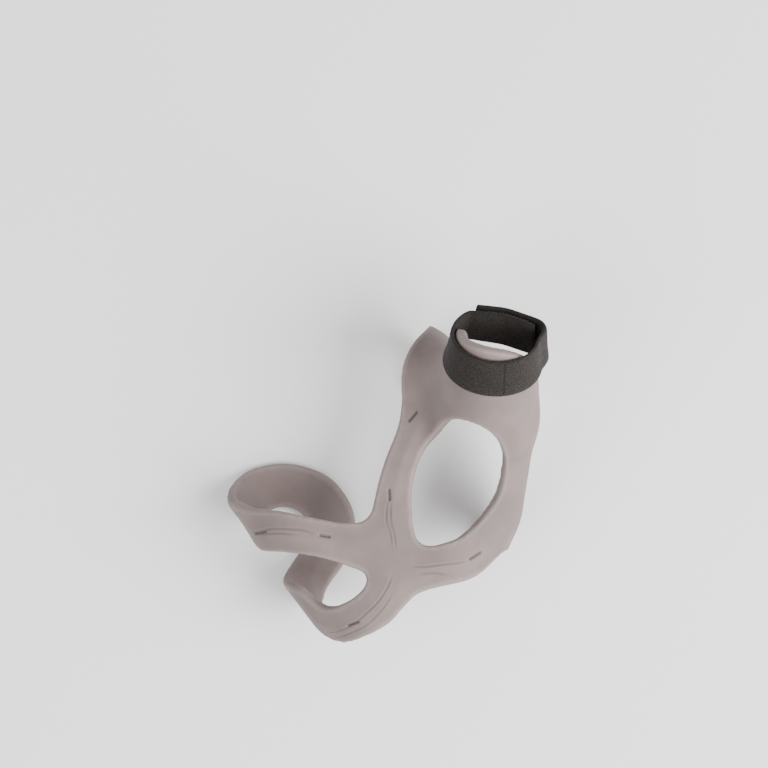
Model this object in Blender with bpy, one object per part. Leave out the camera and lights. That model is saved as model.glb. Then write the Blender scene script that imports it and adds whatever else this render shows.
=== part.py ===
"""A slip-on thumb and wrist support: one moulded, cushioned shell that hooks round the
outer edge of the palm and round the base of the thumb, and a strap that closes round the thumb.

It is a right-hand support, lying palm side up on its back. Metres, +Z up. X runs towards the
thumb side, Y towards the fingers, and the origin is the bottom centre of the whole support.

The shell is a sheet of even thickness moulded to a hand. So the hand is written first, as a
distance that is zero on the skin, and the sheet's outline is then drawn on it in two measures:
along a route over the hand, and across from that route, to its left or its right.
"""

import math

import bmesh
import bpy
import numpy as np
from mathutils import Vector
from mathutils.geometry import convex_hull_2d, delaunay_2d_cdt

# The shell's wall and its rounded edge
WALL = 0.0032
EDGE_ROUND = 0.0011

# How finely the shell is worked out: the size of its facets and how close two of its points may
# lie as a share of that, the steps over the hand, the points between two chosen ones on a smooth
# curve, and how often the route is smoothed, the facets are evened out and a range is halved
FACET = 0.0027
CLOSENESS = 0.86
WALK_STEP = 0.001
CURVE_SPANS = 12
ROUTE_ROUNDS = 40
RELAX_ROUNDS = 4
HALVINGS = 20

# Edges that turn more than this are rounded
SHARP_ANGLE = math.radians(50)

# The strap, its hook patch, and the gap that touching pieces keep
STRAP_WIDTH = 0.0125
STRAP_THICKNESS = 0.0013
STRAP_ROUND = 0.0004
STRAP_OVERLAP = 0.019
PATCH_THICKNESS = 0.0011
PATCH_LENGTH = 0.015
PATCH_MARGIN = 0.001
GAP = 0.0003

# The palm is a slab with half-round edges: how thick it is and how high its middle lies, and how
# far the lines that its edges are rounded about lie from the middle and which way they face, on
# the little finger's side, at the forefinger and on the thumb's side
PALM_THICKNESS = 0.029
SLAB_HEIGHT = 0.0157
OUTER_EDGE = 0.0239
FINGER_EDGE = 0.0285
THUMB_EDGE = 0.0106
OUTER_EDGE_ANGLE = math.radians(217.5)
FINGER_EDGE_ANGLE = math.radians(54)
THUMB_EDGE_ANGLE = math.radians(14.1)
PALM_BREADTH = OUTER_EDGE + FINGER_EDGE + PALM_THICKNESS

# The pad of the palm below the little finger
HEEL_RADIUS = 0.0142
HEEL_TOP = Vector((-0.0178, -0.0122, SLAB_HEIGHT))
HEEL_FOOT = Vector((-0.0048, -0.0300, SLAB_HEIGHT))

# The thumb: the middle of each joint, and its radius there
BASE_RADIUS = 0.0136
KNUCKLE_RADIUS = 0.0114
TIP_RADIUS = 0.0079
BASE_JOINT = Vector((0.0250, -0.0060, 0.0160))
KNUCKLE_JOINT = Vector((0.0310, 0.0200, 0.0360))
TIP_JOINT = Vector((0.0335, 0.0520, 0.0630))
THUMB_BLEND = 0.004

# The web of skin between thumb and forefinger
WEB_RADIUS = 0.0070
WEB_PALM_END = Vector((0.0080, 0.0330, 0.0160))
WEB_THUMB_END = Vector((0.0310, 0.0300, 0.0420))

# How softly the parts of the hand run into each other, and into the flat that the support lies on
BLEND = 0.010
FLAT_BLEND = 0.002

# The outline's reach along its route, from the middle of the palm: round the outer edge of the
# hand, and through the web to the end of the tab
BACK_REACH = 0.084
WEB_REACH = 0.111

# The outline's reach across its route: towards the fingers, and round the thumb
FINGER_REACH = 0.026
THUMB_REACH = 0.072

# Where the strap sits between the thumb's knuckle and its tip, as a share of that length, over how
# much of a turn it rises onto its own start, and its facets
STRAP_SEAT = 0.63
STRAP_RAMP = math.radians(30)
STRAP_TURN = math.radians(5)
STRAP_ROWS = 4

# The route over the hand, from the end on the back round the outer edge, over the palm and
# through the web. Columns: x and y as shares of PALM_BREADTH, z as a share of PALM_THICKNESS.
# Lengths along it are counted from the point in the middle of the palm, and it runs straight on
# past both its ends, so that the outline can reach further.
ROUTE_SPARE = 0.020
ROUTE = (
    (-0.157, 0.118, 0.00),
    (-0.236, 0.000, 0.00),
    (-0.314, -0.147, 0.00),
    (-0.393, -0.275, 0.20),
    (-0.383, -0.344, 0.55),
    (-0.295, -0.354, 0.95),
    (-0.167, -0.314, 1.10),
    (-0.059, -0.236, 1.10),
    (0.029, -0.098, 1.10),
    (0.079, 0.059, 1.10),
    (0.118, 0.216, 1.10),
    (0.138, 0.364, 1.10),
    (0.157, 0.491, 1.10),
    (0.187, 0.570, 0.83),
    (0.187, 0.531, 0.40),
    (0.157, 0.432, 0.07),
    (0.138, 0.344, 0.00),
    (0.108, 0.275, 0.00),
)
ROUTE_MIDDLE = 7

# Points of the outline. Columns: along and across. Along is a share of WEB_REACH, or of
# BACK_REACH where it is negative. Across is a share of FINGER_REACH, or of THUMB_REACH
# where it is negative.
RIM = (
    (-0.619, 0.96),
    (-0.536, 1.00),
    (-0.446, 0.95),
    (-0.345, 0.92),
    (-0.240, 0.83),
    (-0.107, 0.63),
    (-0.012, 0.408),
    (0.041, 0.238),
    (0.081, 0.192),
    (0.133, 0.235),
    (0.189, 0.262),
    (0.261, 0.246),
    (0.342, 0.196),
    (0.432, 0.196),
    (0.514, 0.219),
    (0.586, 0.177),
    (0.667, 0.115),
    (0.757, 0.127),
    (0.847, 0.192),
    (0.928, 0.231),
    (0.982, 0.154),
    (1.000, 0.00),
    (0.973, -0.062),
    (0.892, -0.090),
    (0.793, -0.090),
    (0.703, -0.090),
    (0.640, -0.094),
    (0.590, -0.132),
    (0.561, -0.21),
    (0.546, -0.29),
    (0.537, -0.36),
    (0.523, -0.42),
    (0.511, -0.50),
    (0.500, -0.57),
    (0.487, -0.63),
    (0.466, -0.69),
    (0.445, -0.74),
    (0.423, -0.79),
    (0.396, -0.81),
    (0.350, -0.81),
    (0.297, -0.81),
    (0.234, -0.78),
    (0.180, -0.80),
    (0.152, -0.86),
    (0.137, -0.93),
    (0.129, -0.97),
    (0.122, -0.91),
    (0.121, -0.81),
    (0.123, -0.68),
    (0.121, -0.58),
    (0.103, -0.51),
    (0.068, -0.43),
    (0.032, -0.34),
    (0.000, -0.29),
    (-0.042, -0.29),
    (-0.095, -0.31),
    (-0.167, -0.31),
    (-0.262, -0.31),
    (-0.345, -0.28),
    (-0.440, -0.25),
    (-0.560, -0.25),
    (-0.679, -0.25),
    (-0.786, -0.25),
    (-0.881, -0.22),
    (-0.958, -0.146),
    (-1.000, -0.028),
    (-0.988, 0.269),
    (-0.946, 0.58),
    (-0.869, 0.83),
    (-0.750, 0.94),
)
PALM_WINDOW = (
    (-0.351, -0.039),
    (-0.312, -0.086),
    (-0.269, -0.136),
    (-0.196, -0.144),
    (-0.125, -0.135),
    (-0.079, -0.111),
    (-0.068, -0.078),
    (-0.099, -0.021),
    (-0.155, 0.138),
    (-0.254, 0.323),
    (-0.369, 0.408),
    (-0.500, 0.408),
    (-0.619, 0.435),
    (-0.738, 0.423),
    (-0.810, 0.308),
    (-0.839, 0.115),
    (-0.821, -0.028),
    (-0.756, -0.067),
    (-0.643, -0.061),
    (-0.524, -0.036),
    (-0.429, -0.021),
)
THENAR_WINDOW = (
    (0.168, -0.053),
    (0.113, -0.096),
    (0.079, -0.147),
    (0.077, -0.20),
    (0.095, -0.25),
    (0.121, -0.315),
    (0.164, -0.380),
    (0.211, -0.426),
    (0.261, -0.440),
    (0.304, -0.442),
    (0.351, -0.427),
    (0.387, -0.375),
    (0.402, -0.280),
    (0.382, -0.170),
    (0.318, -0.063),
    (0.236, -0.037),
)


def to_metres(table):
    """Read outline points, given as shares of the reaches, into along and across."""
    along = [a * (WEB_REACH if a > 0 else BACK_REACH) for a, _ in table]
    across = [b * (FINGER_REACH if b > 0 else THUMB_REACH) for _, b in table]
    return np.stack([along, across], axis=1)


def soft_min(a, b, blend):
    """The lesser of the two, rounded off where they differ by less than the blend."""
    overlap = np.maximum(blend - np.abs(a - b), 0) / blend
    return np.minimum(a, b) - overlap ** 2 * blend / 4


def soft_max(a, b, blend):
    return -soft_min(-a, -b, blend)


def capsule(points, start, end, start_radius, end_radius):
    """Distance to a rod with round ends, whose radius changes evenly along it."""
    start = np.array(start)
    run = np.array(end) - start
    share = np.clip((points - start) @ run / (run @ run), 0, 1)
    radius = start_radius + (end_radius - start_radius) * share
    return np.linalg.norm(points - start - share[:, None] * run, axis=1) - radius


def palm_slab(points):
    """Distance to the palm: a slab with half-round edges, which runs on into the wrist."""
    beyond = np.zeros(len(points))
    edges = (
        (OUTER_EDGE_ANGLE, OUTER_EDGE),
        (FINGER_EDGE_ANGLE, FINGER_EDGE),
        (THUMB_EDGE_ANGLE, THUMB_EDGE),
    )
    for angle, offset in edges:
        side = points[:, 0] * math.cos(angle) + points[:, 1] * math.sin(angle) - offset
        beyond = np.maximum(beyond, side)
    return np.hypot(beyond, points[:, 2] - SLAB_HEIGHT) - PALM_THICKNESS / 2


def thumb(points):
    """Distance to the thumb: two rods that meet at its knuckle."""
    base = capsule(points, BASE_JOINT, KNUCKLE_JOINT, BASE_RADIUS, KNUCKLE_RADIUS)
    tip = capsule(points, KNUCKLE_JOINT, TIP_JOINT, KNUCKLE_RADIUS, TIP_RADIUS)
    return soft_min(base, tip, THUMB_BLEND)


def hand(points):
    """Distance to the skin of the hand, which is cut flat where the support lies on its back."""
    heel = capsule(points, HEEL_TOP, HEEL_FOOT, HEEL_RADIUS, HEEL_RADIUS)
    web = capsule(points, WEB_PALM_END, WEB_THUMB_END, WEB_RADIUS, WEB_RADIUS)
    distance = palm_slab(points)
    for pad in (heel, web, thumb(points)):
        distance = soft_min(distance, pad, BLEND)
    return soft_max(distance, WALL - points[:, 2], FLAT_BLEND)


def slope(points):
    """Which way the distance to the hand grows, and how fast."""
    reach = WALL / 100
    columns = []
    for axis in np.eye(3) * reach:
        columns.append((hand(points + axis) - hand(points - axis)) / (2 * reach))
    return np.stack(columns, axis=1)


def unit(vectors):
    return vectors / np.linalg.norm(vectors, axis=1)[:, None]


def seat(points, level, rounds=3):
    """Move points to where the hand is level away."""
    for _ in range(rounds):
        rise = slope(points)
        step = (hand(points) - level) / (rise * rise).sum(axis=1)
        points = points - step[:, None] * rise
    return points


def smooth_curve(points, closed):
    """A Catmull-Rom curve through the points."""
    if closed:
        before = points[-1:]
        after = points[:2]
    else:
        before = 2 * points[:1] - points[1:2]
        after = 2 * points[-1:] - points[-2:-1]
    padded = np.concatenate([before, points, after])
    share = (np.arange(CURVE_SPANS) / CURVE_SPANS)[:, None]
    pieces = []
    for a, b, c, d in zip(padded, padded[1:], padded[2:], padded[3:]):
        cubic = (3 * b - a - 3 * c + d) * share ** 3
        square = (2 * a - 5 * b + 4 * c - d) * share ** 2
        pieces.append((2 * b + (c - a) * share + square + cubic) / 2)
    if not closed:
        pieces.append(points[-1:])
    return np.concatenate(pieces)


def lengths(points):
    """Length along a row of points, from its first one."""
    steps = np.linalg.norm(np.diff(points, axis=0), axis=1)
    return np.concatenate([[0], np.cumsum(steps)])


def interpolate(where, known, values):
    """Read each column of the values between the known places."""
    return np.stack([np.interp(where, known, column) for column in values.T], axis=1)


def even_row(points, spacing):
    """The same row with its points evenly spaced."""
    run = lengths(points)
    count = int(round(run[-1] / spacing))
    return interpolate(np.linspace(0, run[-1], count + 1), run, points)


def run_on(row, length):
    """The same row with a straight stretch added past both its ends."""
    first = row[:1] + unit(row[:1] - row[1:2]) * length
    last = row[-1:] + unit(row[-1:] - row[-2:-1]) * length
    return np.concatenate([first, row, last])


def lay_route():
    """The route on the outside of the shell, and the length along it, zero in the palm."""
    scale = np.array([PALM_BREADTH, PALM_BREADTH, PALM_THICKNESS])
    chosen = np.array(ROUTE) * scale
    route = run_on(smooth_curve(chosen, closed=False), ROUTE_SPARE)
    route = seat(even_row(route, FACET / 2), WALL)
    for _ in range(ROUTE_ROUNDS):
        route[1:-1] = route[1:-1] / 2 + (route[:-2] + route[2:]) / 4
        route = seat(route, WALL)
    route = seat(even_row(route, FACET / 3), WALL)
    run = lengths(route)
    middle = chosen[ROUTE_MIDDLE]
    nearest = np.linalg.norm(route - middle, axis=1).argmin()
    step = route[nearest + 1] - route[nearest]
    past = (middle - route[nearest]) @ step / np.linalg.norm(step)
    return route, run - run[nearest] - past


def onto_hand(marks, route, run):
    """Carry along-and-across marks to the outside of the shell: go along the route, then walk
    over the hand at right angles to it."""
    along = marks[:, 0]
    remaining = np.abs(marks[:, 1])
    points = seat(interpolate(along, run, route), WALL)
    ahead = interpolate(along + WALK_STEP, run, route) - interpolate(along - WALK_STEP, run, route)
    normal = unit(slope(points))
    ahead = unit(ahead - (ahead * normal).sum(axis=1)[:, None] * normal)
    heading = np.cross(normal, ahead) * np.where(marks[:, 1] < 0, -1, 1)[:, None]
    while remaining.max() > 0:
        step = np.minimum(remaining, WALK_STEP)
        remaining = remaining - step
        points = seat(points + heading * step[:, None], WALL, rounds=1)
        normal = unit(slope(points))
        heading = unit(heading - (heading * normal).sum(axis=1)[:, None] * normal)
    return seat(points, WALL)


def edge_loop(table, route, run):
    """Marks of a closed outline, spaced one facet apart on the hand."""
    marks = smooth_curve(to_metres(table), closed=True)
    marks = np.concatenate([marks, marks[:1]])
    travelled = lengths(onto_hand(marks, route, run))
    count = int(round(travelled[-1] / FACET))
    return interpolate(np.arange(count) * travelled[-1] / count, travelled, marks)


def inside(marks, loops):
    """Whether each mark lies inside the first loop and outside the windows."""
    odd = np.zeros(len(marks), dtype=bool)
    for loop in loops:
        for (x0, y0), (x1, y1) in zip(loop, np.roll(loop, -1, axis=0)):
            spans = (y0 > marks[:, 1]) != (y1 > marks[:, 1])
            if y1 != y0:
                odd ^= spans & (marks[:, 0] < x0 + (x1 - x0) * (marks[:, 1] - y0) / (y1 - y0))
    return odd


def spread_marks(loops, route, run):
    """Marks between the outlines that lie about a facet apart on the hand: a fine grid is carried
    over, and each point of it that is clear of all kept before it is kept."""
    fine = FACET / 5
    low = loops[0].min(axis=0)
    high = loops[0].max(axis=0)
    sides = [np.arange(start, end, fine) for start, end in zip(low, high)]
    grid = np.meshgrid(*sides, indexing="ij")
    marks = np.stack([side.ravel() for side in grid], axis=1)
    marks = marks[inside(marks, loops)]
    places = onto_hand(marks, route, run)
    edge_places = onto_hand(np.concatenate(loops), route, run)
    cells = {}

    def is_clear(place, spacing):
        key = np.floor(place / FACET).astype(int)
        for offset in np.ndindex(3, 3, 3):
            for other in cells.get(tuple(key + offset - 1), ()):
                if np.sum((place - other) ** 2) < spacing ** 2:
                    return False
        return True

    def keep(place):
        cells.setdefault(tuple(np.floor(place / FACET).astype(int)), []).append(place)

    for place in edge_places:
        keep(place)
    kept = []
    for mark, place in zip(marks, places):
        if is_clear(place, FACET * CLOSENESS):
            keep(place)
            kept.append(mark)
    return np.array(kept)


def build_sheet(name, verts, faces, material, thickness, edge_round, segments):
    """An object made of a sheet in the middle of its wall, thickened and rounded at its edges."""
    mesh = bpy.data.meshes.new(name)
    mesh.from_pydata([tuple(vert) for vert in verts], [], faces)
    mesh.materials.append(material)
    obj = bpy.data.objects.new(name, mesh)
    bpy.context.scene.collection.objects.link(obj)
    wall = obj.modifiers.new("wall", "SOLIDIFY")
    wall.thickness = thickness
    wall.offset = 0
    wall.use_even_offset = True
    rounding = obj.modifiers.new("edge_round", "BEVEL")
    rounding.width = edge_round
    rounding.segments = segments
    rounding.limit_method = "ANGLE"
    rounding.angle_limit = SHARP_ANGLE
    mesh.shade_smooth()


def add_shell(material):
    """The outlines and the points between them become facets, which are evened out on the outside
    of the shell and then sunk to the middle of its wall. Returns the points of the outside."""
    route, run = lay_route()
    loops = [edge_loop(table, route, run) for table in (RIM, PALM_WINDOW, THENAR_WINDOW)]
    between = spread_marks(loops, route, run)
    marks = np.concatenate(loops + [between])
    edges = []
    first = 0
    for loop in loops:
        count = len(loop)
        edges += [(first + i, first + (i + 1) % count) for i in range(count)]
        first += count
    flat = [Vector(mark) for mark in marks]
    found = delaunay_2d_cdt(flat, edges, [], 1, FACET / 1000)
    marks = np.array([tuple(vert) for vert in found[0]])
    middles = np.array([marks[list(face)].mean(axis=0) for face in found[2]])
    faces = [face for face, kept in zip(found[2], inside(middles, loops)) if kept]
    places = onto_hand(marks, route, run)
    sheet = bmesh.new()
    verts = [sheet.verts.new(place) for place in places]
    for face in faces:
        sheet.faces.new([verts[i] for i in face])
    every_way = {"use_axis_x": True, "use_axis_y": True, "use_axis_z": True}
    for _ in range(RELAX_ROUNDS):
        bmesh.ops.beautify_fill(sheet, faces=sheet.faces[:], edges=sheet.edges[:], method="ANGLE")
        within = [vert for vert in sheet.verts if not vert.is_boundary]
        bmesh.ops.smooth_vert(sheet, verts=within, factor=0.5, **every_way)
        places = seat(np.array([vert.co[:] for vert in sheet.verts]), WALL)
        for vert, place in zip(sheet.verts, places):
            vert.co = place
    sheet.verts.index_update()
    faces = [[vert.index for vert in face.verts] for face in sheet.faces]
    sheet.free()
    build_sheet("splint_shell", seat(places, WALL / 2), faces, material, WALL, EDGE_ROUND, 2)
    return places


def thumb_frame(height):
    """The middle of the thumb at a height above the strap's middle line, its radius there, and
    three directions: along it, to its palm side, and to the side away from the fingers."""
    run = TIP_JOINT - KNUCKLE_JOINT
    share = STRAP_SEAT + height / run.length
    radius = KNUCKLE_RADIUS + (TIP_RADIUS - KNUCKLE_RADIUS) * share
    axis = run.normalized()
    palm_side = (Vector((0, 0, 1)) - axis * axis.z).normalized()
    far_side = axis.cross(palm_side)
    directions = [np.array(direction) for direction in (axis, palm_side, far_side)]
    return np.array(KNUCKLE_JOINT + run * share), radius, *directions


def collar_reach(cover):
    """Angles round the thumb, from its palm side, up to which the shell lies under the strap: on
    the thumb's far side, and at the web. They are read from the points of the shell's outside."""
    centre, radius, axis, palm_side, far_side = thumb_frame(0)
    place = cover - centre
    height = place @ axis
    angle = np.arctan2(place @ far_side, place @ palm_side)
    away = np.hypot(place @ far_side, place @ palm_side)
    under = (np.abs(height) < STRAP_WIDTH / 2 + FACET) & (away < radius + 2 * WALL)
    return angle[under].max() + STRAP_TURN, STRAP_TURN - angle[under].min()


def strap_path(height, reach):
    """The inside of the strap at a height along the thumb: a closed row round the thumb, a point
    each STRAP_TURN, drawn tight over the shell and, at the thumb's back, over the skin."""
    centre, skin, _, palm_side, far_side = thumb_frame(height)
    angles = np.arange(0, 2 * math.pi - STRAP_TURN / 2, STRAP_TURN)
    rays = np.outer(np.cos(angles), palm_side) + np.outer(np.sin(angles), far_side)
    low = np.full(len(angles), skin / 2)
    high = np.full(len(angles), skin + 2 * WALL)
    for _ in range(HALVINGS):
        middle = (low + high) / 2
        within = hand(centre + rays * middle[:, None]) < WALL + GAP
        low = np.where(within, middle, low)
        high = np.where(within, high, middle)
    on_shell = (angles < reach[0]) | (angles > 2 * math.pi - reach[1])
    radius = np.where(on_shell, high, skin + GAP)
    flat = np.stack([np.cos(angles), np.sin(angles)], axis=1)
    corners = np.array([flat[i] * radius[i] for i in sorted(convex_hull_2d(flat * radius[:, None]))])
    for start, end in zip(corners, np.roll(corners, -1, axis=0)):
        side = end - start
        turn = flat[:, 0] * side[1] - flat[:, 1] * side[0]
        reach = (start[0] * side[1] - start[1] * side[0]) / np.where(turn == 0, 1, turn)
        first, last = (math.atan2(y, x) % (2 * math.pi) for x, y in (start, end))
        between = (angles - first) % (2 * math.pi) < (last - first) % (2 * math.pi)
        radius = np.where(between, reach, radius)
    return centre + rays * radius[:, None]


def wrapped_sheet(first, last, lift, width, reach):
    """Points and faces of a band round the thumb, from one angle to another, lift off its path."""
    turns = np.arange(first, last + STRAP_TURN / 2, STRAP_TURN)
    rows = []
    for height in np.linspace(-width / 2, width / 2, STRAP_ROWS):
        path = strap_path(height, reach)
        middle = path.mean(axis=0)
        tangent = np.roll(path, -1, axis=0) - np.roll(path, 1, axis=0)
        outward = unit(np.cross(tangent, thumb_frame(height)[2]))
        outward = outward * np.sign(((path - middle) * outward).sum(axis=1))[:, None]
        at = np.rint(turns / STRAP_TURN).astype(int) % len(path)
        rows.append(path[at] + outward[at] * np.array([lift(turn) for turn in turns])[:, None])
    count = len(turns)
    faces = []
    for row in range(STRAP_ROWS - 1):
        for i in range(row * count, (row + 1) * count - 1):
            faces.append((i, i + 1, i + 1 + count, i + count))
    return np.concatenate(rows), faces


def add_strap(material, reach):
    """The strap starts past the collar, at the thumb's back, goes once round it and laps over its
    own start."""
    start = reach[0]
    overlap = STRAP_OVERLAP / (TIP_RADIUS + WALL)
    layer = STRAP_THICKNESS + PATCH_THICKNESS + 2 * GAP

    def lift(turn):
        rise = min(max((turn - start - 2 * math.pi) / STRAP_RAMP + 1, 0), 1)
        return STRAP_THICKNESS / 2 + layer * rise * rise * (3 - 2 * rise)

    verts, faces = wrapped_sheet(start, start + 2 * math.pi + overlap, lift, STRAP_WIDTH, reach)
    build_sheet("thumb_strap", verts, faces, material, STRAP_THICKNESS, STRAP_ROUND, 1)


def add_hook_patch(material, reach):
    """The patch of hooks lies between the strap's start and its lapped end, and holds them."""
    radius = TIP_RADIUS + WALL
    middle = reach[0] + STRAP_OVERLAP / radius / 2
    half = PATCH_LENGTH / radius / 2
    height = STRAP_THICKNESS + GAP + PATCH_THICKNESS / 2
    width = STRAP_WIDTH - 2 * PATCH_MARGIN
    verts, faces = wrapped_sheet(middle - half, middle + half, lambda turn: height, width, reach)
    build_sheet("hook_patch", verts, faces, material, PATCH_THICKNESS, PATCH_THICKNESS / 4, 1)


def stand_on_origin():
    """Move the whole support so that the origin is at the bottom centre of its box."""
    bpy.context.view_layer.update()
    depsgraph = bpy.context.evaluated_depsgraph_get()
    corners = []
    for obj in bpy.data.objects:
        mesh = obj.evaluated_get(depsgraph).to_mesh()
        corners += [vert.co[:] for vert in mesh.vertices]
    low = np.min(corners, axis=0)
    high = np.max(corners, axis=0)
    for obj in bpy.data.objects:
        obj.location = -(low[0] + high[0]) / 2, -(low[1] + high[1]) / 2, -low[2]


def plain_material(name, colour, roughness):
    """A Principled BSDF with the piece's colour."""
    material = bpy.data.materials.new(name)
    material.use_nodes = True
    shader = material.node_tree.nodes["Principled BSDF"]
    shader.inputs["Base Color"].default_value = (*colour, 1)
    shader.inputs["Roughness"].default_value = roughness
    shader.inputs["Metallic"].default_value = 0
    return material


for old in list(bpy.data.objects):
    bpy.data.objects.remove(old)
shell_cover = add_shell(plain_material("soft_touch_grey", (0.35, 0.31, 0.30), 0.75))
collar = collar_reach(shell_cover)
add_strap(plain_material("charcoal_loop_fabric", (0.035, 0.030, 0.028), 0.95), collar)
add_hook_patch(plain_material("charcoal_hook_tape", (0.020, 0.019, 0.019), 0.7), collar)
stand_on_origin()
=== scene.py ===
import math

import bmesh
import bpy
import numpy as np
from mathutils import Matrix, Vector, noise
from mathutils.bvhtree import BVHTree
from mathutils.kdtree import KDTree


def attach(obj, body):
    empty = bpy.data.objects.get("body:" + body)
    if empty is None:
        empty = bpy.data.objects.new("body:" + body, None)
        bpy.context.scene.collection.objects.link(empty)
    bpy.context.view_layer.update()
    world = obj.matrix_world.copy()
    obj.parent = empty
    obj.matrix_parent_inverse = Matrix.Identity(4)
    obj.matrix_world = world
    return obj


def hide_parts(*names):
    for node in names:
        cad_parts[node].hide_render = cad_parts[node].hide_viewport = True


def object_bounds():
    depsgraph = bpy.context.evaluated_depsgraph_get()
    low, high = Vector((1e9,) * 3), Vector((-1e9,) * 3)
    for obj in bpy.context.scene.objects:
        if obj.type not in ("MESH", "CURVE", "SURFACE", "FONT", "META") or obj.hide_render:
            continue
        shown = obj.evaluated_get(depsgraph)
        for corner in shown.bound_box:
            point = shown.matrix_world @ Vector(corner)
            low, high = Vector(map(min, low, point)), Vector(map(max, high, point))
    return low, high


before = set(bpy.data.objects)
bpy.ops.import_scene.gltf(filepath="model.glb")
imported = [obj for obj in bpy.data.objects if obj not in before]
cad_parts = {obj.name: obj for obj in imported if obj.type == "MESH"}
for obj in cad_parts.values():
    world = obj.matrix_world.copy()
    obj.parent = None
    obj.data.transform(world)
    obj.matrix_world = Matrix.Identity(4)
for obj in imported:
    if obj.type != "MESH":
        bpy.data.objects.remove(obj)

cad_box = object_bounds()
bpy.ops.object.select_all(action="DESELECT")

# Camera
# The photograph looks straight at the palm with a long lens, and covers 230 mm from side to side.
# The support lies palm side up, so the camera looks straight down on it.
PIXEL = 0.0003
PHOTO_SIZE = 768
PHOTO_MIDDLE = (-0.00083, 0.02716)
CAMERA_HEIGHT = 3.0
SENSOR_WIDTH = 36
bpy.ops.object.camera_add(location=(*PHOTO_MIDDLE, CAMERA_HEIGHT), rotation=(0, 0, 0))
camera = bpy.context.active_object
camera.data.sensor_width = SENSOR_WIDTH
camera.data.lens = SENSOR_WIDTH * (CAMERA_HEIGHT - cad_box[1].z / 2) / (PIXEL * PHOTO_SIZE)
camera.data.clip_end = 20
bpy.context.scene.camera = camera


def from_photo(pixels):
    """Places on the floor, in metres, of points given in the photograph's pixels."""
    middle_x, middle_y = PHOTO_MIDDLE
    half = PHOTO_SIZE / 2
    return [(middle_x + (x - half) * PIXEL, middle_y - (y - half) * PIXEL) for x, y in pixels]


# Lights
# A large soft box stands on the thumb's side, a weaker one faces it from the little finger's
# side, and a white room fills the shade.
ROOM_LIGHT = 0.62
world = bpy.data.worlds.new("room")
world.use_nodes = True
world.node_tree.nodes["Background"].inputs["Color"].default_value = (1, 1, 1, 1)
world.node_tree.nodes["Background"].inputs["Strength"].default_value = ROOM_LIGHT
bpy.context.scene.world = world


def add_soft_box(name, place, size, power):
    """An area light at a place, turned to face the support."""
    bpy.ops.object.light_add(type="AREA", location=place)
    light = bpy.context.active_object
    light.name = name
    light.data.shape = "SQUARE"
    light.data.size = size
    light.data.energy = power
    light.rotation_euler = (-Vector(place)).to_track_quat("-Z", "Y").to_euler()


add_soft_box("key_light", place=(0.80, -0.25, 0.75), size=0.9, power=31)
add_soft_box("fill_light", place=(-0.60, -0.45, 0.90), size=0.8, power=9)


# Materials
# Each is written as expressions on values, and a pattern's size is given in metres. Arithmetic
# on values adds the nodes.
class Value:
    """A socket of a material. Arithmetic on it adds the Math nodes."""

    def __init__(self, finish, socket):
        self.finish = finish
        self.socket = socket

    def maths(self, operation, *values):
        return self.finish.node("ShaderNodeMath", {"operation": operation}, list(values))

    def __add__(self, other):
        return self.maths("ADD", self, other)

    def __radd__(self, other):
        return self.maths("ADD", other, self)

    def __sub__(self, other):
        return self.maths("SUBTRACT", self, other)

    def __rsub__(self, other):
        return self.maths("SUBTRACT", other, self)

    def __mul__(self, other):
        return self.maths("MULTIPLY", self, other)

    def __rmul__(self, other):
        return self.maths("MULTIPLY", other, self)


class Finish:
    """A material: its shader, and the patterns and colours that feed it."""

    def __init__(self, name, **fixed):
        self.material = bpy.data.materials.new(name)
        self.material.use_nodes = True
        self.tree = self.material.node_tree
        self.shader = self.tree.nodes["Principled BSDF"]
        for socket, value in fixed.items():
            self.shader.inputs[socket.replace("_", " ")].default_value = value
        self.place = self.node("ShaderNodeTexCoord", {}, [], "Object")

    def node(self, kind, settings, values, output=0):
        """Any node: its settings first, then the values or links of its sockets."""
        node = self.tree.nodes.new(kind)
        for name, setting in settings.items():
            setattr(node, name, setting)
        pairs = values.items() if isinstance(values, dict) else enumerate(values)
        for name, value in pairs:
            if isinstance(value, Value):
                self.tree.links.new(value.socket, node.inputs[name])
            else:
                node.inputs[name].default_value = value
        return Value(self, node.outputs[output])

    def noise(self, size, detail, stretch=(1, 1, 1)):
        """Cloudy values from 0 to 1, with patches of a size in metres, stretched along an axis."""
        scale = [1 / (size * side) for side in stretch]
        place = self.node("ShaderNodeMapping", {"vector_type": "POINT"}, {
            "Vector": self.place, "Scale": scale})
        return self.node("ShaderNodeTexNoise", {}, {"Vector": place, "Scale": 1.0, "Detail": detail})

    def band(self, value, low, high):
        """0 below low, 1 above high, and smooth between."""
        return self.node("ShaderNodeMapRange", {"interpolation_type": "SMOOTHSTEP"}, {
            "Value": value, "From Min": low, "From Max": high})

    def attribute(self, name):
        """A value that the piece's points carry."""
        return self.node("ShaderNodeAttribute", {"attribute_name": name}, [], "Fac")

    def mix(self, share, first, second):
        """A colour between two, by a share from 0 to 1."""
        return self.node("ShaderNodeMix", {"data_type": "RGBA"}, {0: share, 6: first, 7: second}, 2)

    def feed(self, socket, value):
        """Link a value to a socket of the shader."""
        self.tree.links.new(value.socket, self.shader.inputs[socket])

    def bump(self, height, distance):
        """Relief: a height from 0 to 1 that stands for a distance in metres."""
        self.feed("Normal", self.node("ShaderNodeBump", {}, {
            "Strength": 1.0, "Distance": distance, "Height": height}))


# Floor
# A plain pale table top, wide enough to fill every view. The support lies on it on its back, with
# the palm side up.
FLOOR_SIZE = 12
bpy.ops.mesh.primitive_plane_add(size=FLOOR_SIZE, location=(0, 0, cad_box[0].z))
floor = bpy.context.active_object
floor.name = "floor"
floor_finish = Finish("pale_floor", Base_Color=(0.90, 0.90, 0.90, 1), Roughness=0.9)
floor.data.materials.append(floor_finish.material)


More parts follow.
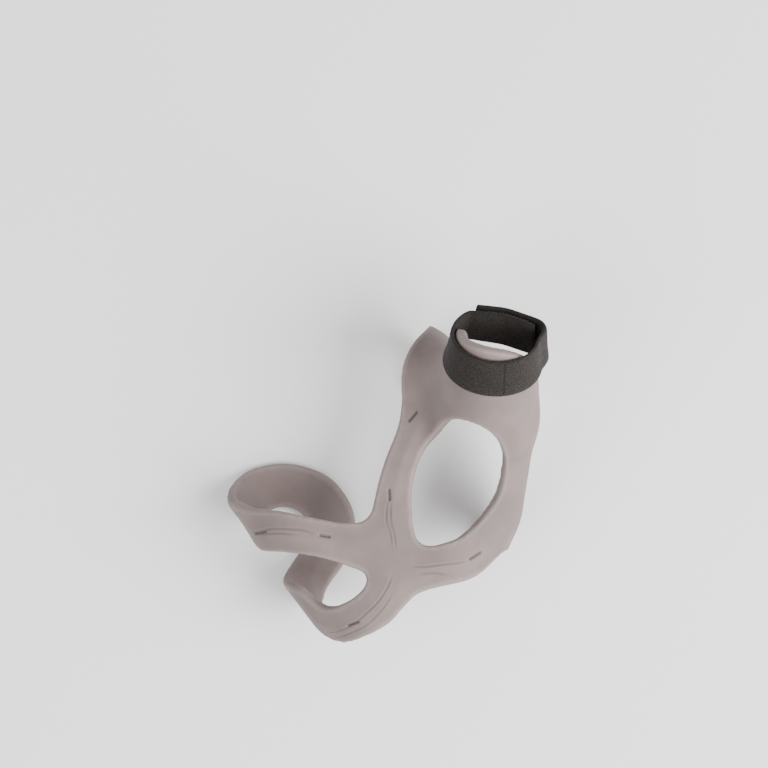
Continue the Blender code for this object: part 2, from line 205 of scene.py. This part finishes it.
# Shell
# One moulding of soft-touch polyurethane over a bendable core, cast to the shape of the hand. Its
# rims are fully rounded, and fine creases and short slots mark where the core lies inside it.
SHELL_VOXEL = 0.00054
SHELL_SMOOTHING = 14
MERGE_DISTANCE = 0.00001


def cad_copy(node, name):
    """A copy of a CAD node's mesh as a new piece, with its loose triangles merged."""
    piece = bpy.data.objects.new(name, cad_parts[node].data.copy())
    bpy.context.scene.collection.objects.link(piece)
    bpy.ops.object.select_all(action="DESELECT")
    piece.select_set(True)
    bpy.context.view_layer.objects.active = piece
    piece.data.materials.clear()
    for layer in list(piece.data.attributes):
        if layer.name == "custom_normal":
            piece.data.attributes.remove(layer)
    bpy.ops.object.mode_set(mode="EDIT")
    bpy.ops.mesh.select_all(action="SELECT")
    bpy.ops.mesh.remove_doubles(threshold=MERGE_DISTANCE)
    bpy.ops.object.mode_set(mode="OBJECT")
    return piece


def apply_modifier(piece, kind, **settings):
    """Add a modifier to the active piece, set it and apply it."""
    modifier = piece.modifiers.new(kind.lower(), kind)
    for name, value in settings.items():
        setattr(modifier, name, value)
    bpy.ops.object.modifier_apply(modifier=modifier.name)


def even_skin(piece, voxel, rounds):
    """Turn facets into a fine even mesh, and melt it until its edges are round."""
    apply_modifier(piece, "SUBSURF", levels=2, render_levels=2)
    apply_modifier(piece, "REMESH", mode="VOXEL", voxel_size=voxel, use_smooth_shade=True)
    apply_modifier(piece, "SMOOTH", factor=0.5, iterations=rounds)


shell = cad_copy("splint_shell", "shell_cover")
even_skin(shell, SHELL_VOXEL, SHELL_SMOOTHING)

# Creases of the cover along the core, in the photograph's pixels, two to each band
CREASES = (
    ((243, 534), (255, 532), (272, 528.7), (289, 528.7), (304, 530), (318, 534)),
    ((256, 535.5), (267, 534), (281, 533.3), (300, 535.3)),
    ((393, 573), (386, 589), (378, 601), (366, 613), (352, 625), (336, 632), (324, 633)),
    ((394, 591), (382, 609), (366, 625), (346, 635), (333, 639)),
    ((387, 501), (386, 520), (390, 534), (392, 551)),
    ((390.5, 501), (390.3, 520), (394.3, 536), (396, 552)),
    ((408, 565), (423, 566.3), (442, 564.3), (461, 562), (470, 559)),
    ((414, 574), (434, 573), (452, 576)),
)
CREASE_WIDTH = 0.00028
CREASE_DEPTH = 0.00020
CREASE_FADE = 0.0035
LIP_OFFSET = 2.4 * CREASE_WIDTH
LIP_SHARE = 1 / 3

# Short slots through the cover, down to the core: both ends of each
SLOTS = (
    ((254.5, 534.5), (265.5, 532)),
    ((320, 535), (329, 536.5)),
    ((348, 626), (358, 622.5)),
    ((388.8, 490), (389.2, 499.5)),
    ((470.5, 559), (480.5, 553)),
    ((409, 420.5), (416, 412.5)),
)
SLOT_WIDTH = 0.00038
SLOT_DEPTH = 0.00070
LINE_STEP = 0.0001


def smooth_row(points, spacing):
    """Points at a spacing on a smooth curve through the chosen ones."""
    points = [Vector(point) for point in points]
    padded = [2 * points[0] - points[1], *points, 2 * points[-1] - points[-2]]
    row = []
    for a, b, c, d in zip(padded, padded[1:], padded[2:], padded[3:]):
        count = max(2, int((c - b).length / spacing))
        for i in range(count):
            t = i / count
            cubic = (3 * b - a - 3 * c + d) * t ** 3
            square = (2 * a - 5 * b + 4 * c - d) * t ** 2
            row.append((2 * b + (c - a) * t + square + cubic) / 2)
    return row + [points[-1]]


def drop_onto(piece, rows):
    """Where rows of floor places, seen from above, fall on a piece."""
    skin = BVHTree.FromObject(piece, bpy.context.evaluated_depsgraph_get())
    falls = [skin.ray_cast((x, y, 1), (0, 0, -1))[0] for row in rows for x, y in row]
    return [place for place in falls if place is not None]


def tree_of(points):
    """A tree that finds the nearest of some points."""
    tree = KDTree(len(points))
    for i, point in enumerate(points):
        tree.insert(point, i)
    tree.balance()
    return tree


def gaps_to(tree, places):
    """How far each place is from the nearest point of a tree."""
    return np.array([tree.find(place)[2] for place in places])


def refine_near(piece, tree, reach, cuts):
    """Cut the faces near a tree's points finer."""
    bpy.ops.object.mode_set(mode="EDIT")
    bpy.ops.mesh.select_mode(type="FACE")
    bpy.ops.mesh.select_all(action="DESELECT")
    edit = bmesh.from_edit_mesh(piece.data)
    for face in edit.faces:
        face.select = tree.find(face.calc_center_median())[2] < reach
    bmesh.update_edit_mesh(piece.data)
    bpy.ops.mesh.subdivide(number_cuts=cuts)
    bpy.ops.object.mode_set(mode="OBJECT")


def skin_of(piece):
    """A piece's points and outward directions, a row each."""
    count = len(piece.data.vertices)
    places = np.empty(3 * count)
    outward = np.empty(3 * count)
    piece.data.vertices.foreach_get("co", places)
    piece.data.vertex_normals.foreach_get("vector", outward)
    return places.reshape(-1, 3), outward.reshape(-1, 3)


def move_skin(piece, places):
    """Put a piece's points at new places."""
    piece.data.vertices.foreach_set("co", places.ravel())
    piece.data.update()


def mark(piece, name, values):
    """Keep a value for each point, for the material to read."""
    layer = piece.data.attributes.new(name, "FLOAT", "POINT")
    layer.data.foreach_set("value", np.clip(values, 0, 1))


def melted(piece, values, rounds):
    """Values of a piece's points, evened out over their neighbours."""
    ends = np.empty(2 * len(piece.data.edges), dtype=int)
    piece.data.edges.foreach_get("vertices", ends)
    first, second = ends.reshape(-1, 2).T
    count = len(piece.data.vertices)
    near = np.bincount(first, minlength=count) + np.bincount(second, minlength=count)
    for _ in range(rounds):
        columns = []
        for column in values.T:
            total = np.bincount(first, column[second], count)
            total += np.bincount(second, column[first], count)
            columns.append((column + total / near) / 2)
        values = np.array(columns).T
    return values


def smooth_step(values, low, high):
    """0 below low, 1 above high, and smooth between, for each of the values."""
    share = np.clip((values - low) / (high - low), 0, 1)
    return share * share * (3 - 2 * share)


# The rims are where the skin stands out of its own melted form
RIM_ROUNDS = 18
RIM_PROUD = (0.00012, 0.00030)
RIM_WIDTH = 0.0012
places, outward = skin_of(shell)
proud = ((places - melted(shell, places, RIM_ROUNDS)) * outward).sum(axis=1)
rims = smooth_step(proud, *RIM_PROUD)
rim_tree = tree_of([place for place, share in zip(places, rims) if share > 0.5])

# The bands are padded, so their palm side swells between the rims, except under the strap
SWELL = 0.0006
SWELL_REACH = 0.0060
STRAP_CLEARANCE = (0.004, 0.012)
FACING_UP = (0.1, 0.6)
strap_tree = tree_of([vertex.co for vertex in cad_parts["thumb_strap"].data.vertices])
clear = smooth_step(gaps_to(strap_tree, places), *STRAP_CLEARANCE)
inland = smooth_step(gaps_to(rim_tree, places), 0, SWELL_REACH)
swell = SWELL * inland * clear * smooth_step(outward[:, 2], *FACING_UP)
move_skin(shell, places + outward * swell[:, None])

# Each crease is dropped onto the shell as a line of points, with less depth towards its ends
crease_points = []
crease_shares = []
for crease in CREASES:
    line = drop_onto(shell, [smooth_row(from_photo(crease), LINE_STEP)])
    crease_points += line
    steps = np.arange(len(line))
    from_end = np.minimum(steps, steps[::-1]) * LINE_STEP
    crease_shares += list(smooth_step(from_end, 0, CREASE_FADE))
slot_points = drop_onto(shell, [smooth_row(from_photo(slot), LINE_STEP) for slot in SLOTS])
refine_near(shell, tree_of(crease_points + slot_points), reach=4 * CREASE_WIDTH, cuts=2)

# A crease lies between two low lips, and a slot is a narrow trough
places, outward = skin_of(shell)
crease_tree = tree_of(crease_points)
nearest = [crease_tree.find(place) for place in places]
away = np.array([gap for _, _, gap in nearest])
share = np.array([crease_shares[index] for _, index, _ in nearest])
slot_away = gaps_to(tree_of(slot_points), places)
groove = share * np.exp(-(away / CREASE_WIDTH) ** 2)
lip = share * LIP_SHARE * np.exp(-((away - LIP_OFFSET) / CREASE_WIDTH) ** 2)
trough = np.exp(-(slot_away / SLOT_WIDTH) ** 2)
depth = CREASE_DEPTH * (groove - lip) * (1 - trough) + SLOT_DEPTH * trough
move_skin(shell, places - outward * depth[:, None])
apply_modifier(shell, "SMOOTH", factor=0.5, iterations=2)
# Masks for the painted shade in the slots and creases, and for the painted highlight along the rims
mark(shell, "slot", trough)
mark(shell, "crease", groove)
mark(shell, "rim", 1 - smooth_step(gaps_to(rim_tree, places), 0, RIM_WIDTH))

# The cover's grey is a little uneven, in soft clouds and fine specks. It is painted paler along the
# rims, a painted highlight, and darker in the slots and creases, painted shade
CLOUD_SIZE = 0.014
SPECK_SIZE = 0.0009
RIPPLE_SIZE = 0.004
GRAIN_SIZE = 0.00035
GRAIN_DEPTH = 0.00006
SHELL_WARM = (0.214, 0.163, 0.154, 1)
SHELL_COOL = (0.166, 0.133, 0.127, 1)
RIM_HIGHLIGHT = (0.285, 0.236, 0.220, 1)
SLOT_SHADE = (0.070, 0.050, 0.044, 1)
soft_touch = Finish("soft_touch_cover", Specular_IOR_Level=0.30)
clouds = soft_touch.band(soft_touch.noise(CLOUD_SIZE, 3), 0.35, 0.65)
specks = soft_touch.noise(SPECK_SIZE, 2)
tone = soft_touch.mix(0.7 * clouds + 0.3 * specks, SHELL_COOL, SHELL_WARM)
# Painted highlight: the rims are mixed towards a paler grey, as if they caught the light
tone = soft_touch.mix(0.55 * soft_touch.attribute("rim"), tone, RIM_HIGHLIGHT)
shade = 0.60 * soft_touch.attribute("slot") + 0.30 * soft_touch.attribute("crease")
soft_touch.feed("Base Color", soft_touch.mix(shade, tone, SLOT_SHADE))
soft_touch.feed("Roughness", 0.62 - 0.10 * clouds + 0.12 * specks)
grain = 0.7 * soft_touch.noise(GRAIN_SIZE, 2) + 0.3 * soft_touch.noise(RIPPLE_SIZE, 2)
soft_touch.bump(grain, GRAIN_DEPTH)
shell.data.materials.append(soft_touch.material)
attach(shell, "root")
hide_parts("splint_shell")


# Thumb strap
# A band of brushed loop fabric, once round the collar and lapped over its own start at the back
# of the thumb. Its brushed nap is real relief, and its cut edges are pressed flat.
STRAP_VOXEL = 0.00023
STRAP_SMOOTHING = 3
NAP_SIZE = 0.00045
NAP_HEIGHT = 0.00007
EDGE_ROUNDS = 20
EDGE_PROUD = (0.00006, 0.00018)
strap = cad_copy("thumb_strap", "strap_band")
even_skin(strap, STRAP_VOXEL, STRAP_SMOOTHING)
places, outward = skin_of(strap)
proud = ((places - melted(strap, places, EDGE_ROUNDS)) * outward).sum(axis=1)
strap_edges = smooth_step(proud, *EDGE_PROUD)

# A pressed line crosses the band in front of the thumb, in the photograph's pixels
FOLD_LINE = ((503, 364), (503, 376), (502.5, 388), (502, 400))
FOLD_WIDTH = 0.00030
FOLD_DEPTH = 0.00018
fold_points = drop_onto(strap, [smooth_row(from_photo(FOLD_LINE), LINE_STEP)])
fold = np.exp(-(gaps_to(tree_of(fold_points), places) / FOLD_WIDTH) ** 2)
nap = np.array([noise.noise(Vector(place) / NAP_SIZE) for place in places])
lift = NAP_HEIGHT * nap * (1 - strap_edges) - FOLD_DEPTH * fold
move_skin(strap, places + outward * lift[:, None])
mark(strap, "nap", nap / 2 + 0.5)
mark(strap, "edge", strap_edges)
mark(strap, "fold", fold)

# The loops are dark between and paler at their tips, with a little wear in broad patches
LOOP_SIZE = 0.00042
WEAR_SIZE = 0.006
FUZZ_SIZE = 0.0002
LOOP_DEPTH = 0.00018
LOOP_DARK = (0.0072, 0.0059, 0.0052, 1)
LOOP_LIGHT = (0.0330, 0.0272, 0.0238, 1)
EDGE_TONE = (0.0140, 0.0118, 0.0105, 1)
FOLD_SHADE = (0.0045, 0.0038, 0.0034, 1)
loop_fabric = Finish(
    "brushed_loop_fabric", Specular_IOR_Level=0.2, Sheen_Weight=0.06, Sheen_Roughness=0.5)
loops = loop_fabric.band(loop_fabric.noise(LOOP_SIZE, 3), 0.30, 0.72)
wear = loop_fabric.band(loop_fabric.noise(WEAR_SIZE, 2), 0.35, 0.75)
pile = 0.55 * loops + 0.30 * loop_fabric.attribute("nap") + 0.15 * wear
cloth = loop_fabric.mix(pile, LOOP_DARK, LOOP_LIGHT)
cloth = loop_fabric.mix(0.7 * loop_fabric.attribute("edge"), cloth, EDGE_TONE)
cloth = loop_fabric.mix(0.6 * loop_fabric.attribute("fold"), cloth, FOLD_SHADE)
loop_fabric.feed("Base Color", cloth)
loop_fabric.feed("Roughness", 0.97 - 0.12 * loops)
loop_fabric.bump(0.7 * loops + 0.3 * loop_fabric.noise(FUZZ_SIZE, 2), LOOP_DEPTH)
strap.data.materials.append(loop_fabric.material)
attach(strap, "root")
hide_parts("thumb_strap")


# Strap stitches
# A box of thick polyester stitches on the strap's lapped end, which holds the patch of hooks
# under it. Each stitch is a plump thread, laid on the cloth.
STITCH_LENGTH = 0.0017
STITCH_GAP = 0.0007
STITCH_THICKNESS = 0.00030
BOX_SHARE = 0.80
APPROACH = 0.01
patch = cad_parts["hook_patch"]
corners = np.array([vertex.co for vertex in patch.data.vertices])
patch_middle = corners.mean(axis=0)
band_middle = places.mean(axis=0)
across, along, through = np.linalg.svd(corners - patch_middle, full_matrices=False)[2]
through = through * np.sign(through @ (patch_middle - band_middle))
to_side = across * BOX_SHARE * np.abs((corners - patch_middle) @ across).max()
to_end = along * BOX_SHARE * np.abs((corners - patch_middle) @ along).max()
signs = ((-1, -1), (1, -1), (1, 1), (-1, 1), (-1, -1))
box = [patch_middle + to_side * u + to_end * v for u, v in signs]
strap_skin = BVHTree.FromObject(strap, bpy.context.evaluated_depsgraph_get())
stitches = []
for start, finish in zip(box, box[1:]):
    side = Vector(finish - start)
    count = round(side.length / (STITCH_LENGTH + STITCH_GAP))
    for i in range(count):
        above = Vector(start + through * APPROACH) + side * (i + 0.5) / count
        place, facing, _, _ = strap_skin.ray_cast(above, -Vector(through))
        if place is None:
            continue
        lying = side - side.project(facing)
        bpy.ops.mesh.primitive_uv_sphere_add(segments=12, ring_count=8, radius=0.5, location=place)
        stitch = bpy.context.active_object
        stitch.rotation_mode = "QUATERNION"
        stitch.rotation_quaternion = lying.to_track_quat("X", "Z")
        stitch.scale = (STITCH_LENGTH, STITCH_THICKNESS, STITCH_THICKNESS)
        stitches.append(stitch)
bpy.ops.object.select_all(action="DESELECT")
for stitch in stitches:
    stitch.select_set(True)
bpy.context.view_layer.objects.active = stitches[0]
bpy.ops.object.join()
bpy.ops.object.transform_apply(location=True, rotation=True, scale=True)
bpy.ops.object.shade_smooth()
sewing = bpy.context.active_object
sewing.name = "strap_stitches"
STRAND_SIZE = 0.00014
STRAND_DEPTH = 0.00005
THREAD_DARK = (0.010, 0.009, 0.008, 1)
THREAD_LIGHT = (0.034, 0.030, 0.027, 1)
thread = Finish("polyester_thread", Roughness=0.45, Specular_IOR_Level=0.5)
strands = thread.noise(STRAND_SIZE, 1, stretch=(4, 1, 1))
thread.feed("Base Color", thread.mix(strands, THREAD_DARK, THREAD_LIGHT))
thread.bump(strands, STRAND_DEPTH)
sewing.data.materials.append(thread.material)
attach(sewing, "root")
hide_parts("thumb_strap")


# Hook patch
# A pad of hook tape, sewn under the strap's lapped end. Rows of stubby moulded hooks cover it,
# along and across the tape.
HOOK_VOXEL = 0.00025
HOOK_PITCH = 0.0011
HOOK_HEIGHT = 0.00012
BRISTLE_SIZE = 0.0003
BRISTLE_DEPTH = 0.0001
hooks = cad_copy("hook_patch", "hook_pad")
even_skin(hooks, HOOK_VOXEL, rounds=1)
places, outward = skin_of(hooks)
turn = 2 * math.pi / HOOK_PITCH
rows = np.sin(places @ across * turn) * np.sin(places @ along * turn)
move_skin(hooks, places + outward * (HOOK_HEIGHT * rows)[:, None])
mark(hooks, "hook", rows / 2 + 0.5)
TAPE_DARK = (0.010, 0.0095, 0.009, 1)
TAPE_LIGHT = (0.022, 0.021, 0.020, 1)
hook_tape = Finish("hook_tape", Roughness=0.75)
bristle = 0.7 * hook_tape.attribute("hook") + 0.3 * hook_tape.noise(BRISTLE_SIZE, 2)
hook_tape.feed("Base Color", hook_tape.mix(bristle, TAPE_DARK, TAPE_LIGHT))
hook_tape.bump(bristle, BRISTLE_DEPTH)
hooks.data.materials.append(hook_tape.material)
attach(hooks, "root")
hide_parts("hook_patch")
